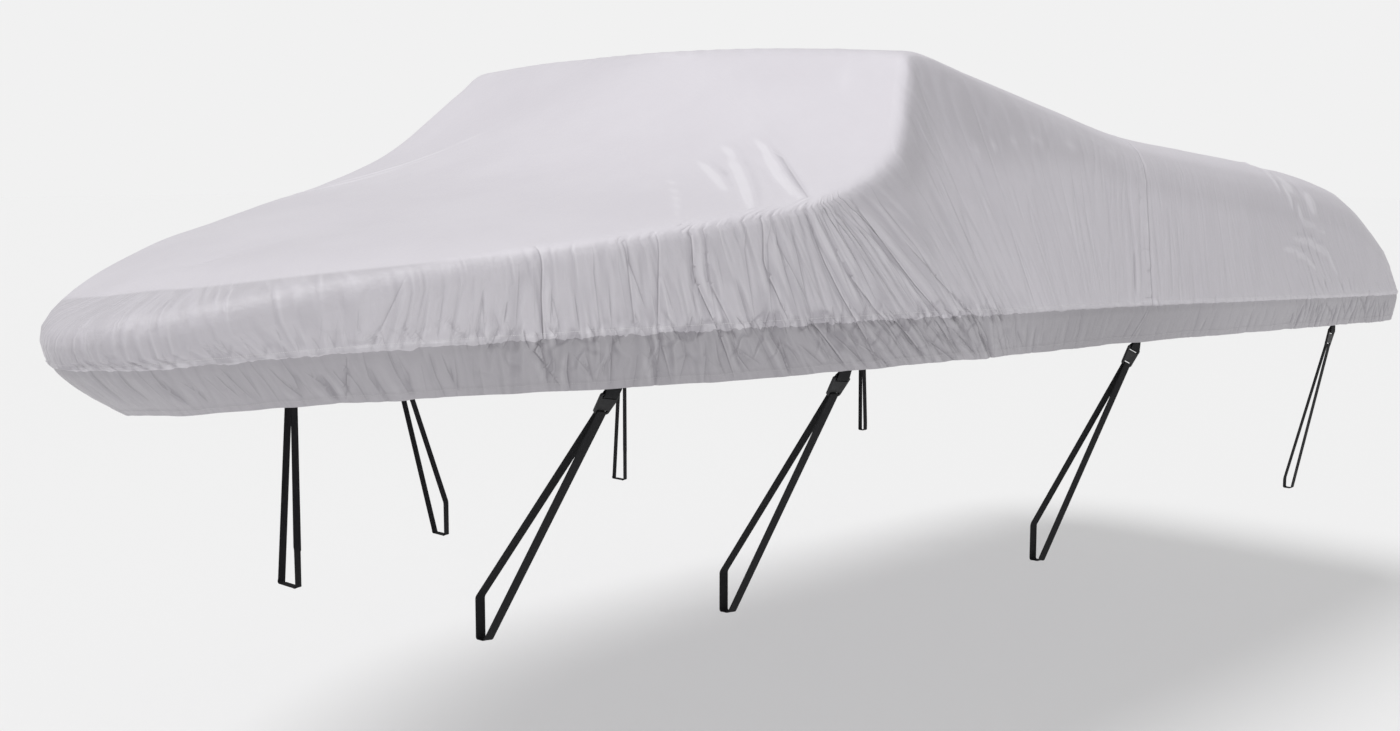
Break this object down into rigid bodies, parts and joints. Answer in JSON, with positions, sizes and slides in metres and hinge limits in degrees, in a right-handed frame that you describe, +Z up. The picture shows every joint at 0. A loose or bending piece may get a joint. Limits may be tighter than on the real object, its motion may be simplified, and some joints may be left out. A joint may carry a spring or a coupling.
{
  "type": "boat cover",
  "caption": "Fitted trailer cover for an open runabout, in its draped shape: upper panels, a turned-in skirt, and flat tie-down straps that hang from buckles at the hem.",
  "frame": {"origin": "under the top of the cover, at the middle of the windshield's header, where the boat holds it up", "axes": "+X aft, the bow at -X; +Y to starboard; +Z up"},
  "size_m": [4.8621, 2.2148, 1.4461],
  "materials": {
    "cloth": "thin coated polyester, light grey, plain weave with a slight sheen",
    "webbing": "black ribbed polypropylene webbing",
    "buckle": "black moulded plastic"
  },
  "bodies": {
    "root": {"front_panel": "cloth", "rear_panel": "cloth", "skirt": "cloth", "loop_port_1": "webbing", "loop_port_2": "webbing", "loop_port_3": "webbing", "loop_port_4": "webbing", "loop_starboard_1": "webbing", "loop_starboard_2": "webbing", "loop_starboard_3": "webbing", "loop_starboard_4": "webbing", "strap_port_1": "webbing", "strap_port_2": "webbing", "strap_port_3": "webbing", "strap_port_4": "webbing", "strap_starboard_1": "webbing", "strap_starboard_2": "webbing", "strap_starboard_3": "webbing", "strap_starboard_4": "webbing", "buckle_port_1": "buckle", "buckle_port_2": "buckle", "buckle_port_3": "buckle", "buckle_port_4": "buckle", "buckle_starboard_1": "buckle", "buckle_starboard_2": "buckle", "buckle_starboard_3": "buckle", "buckle_starboard_4": "buckle"}
  },
  "joints": []
}
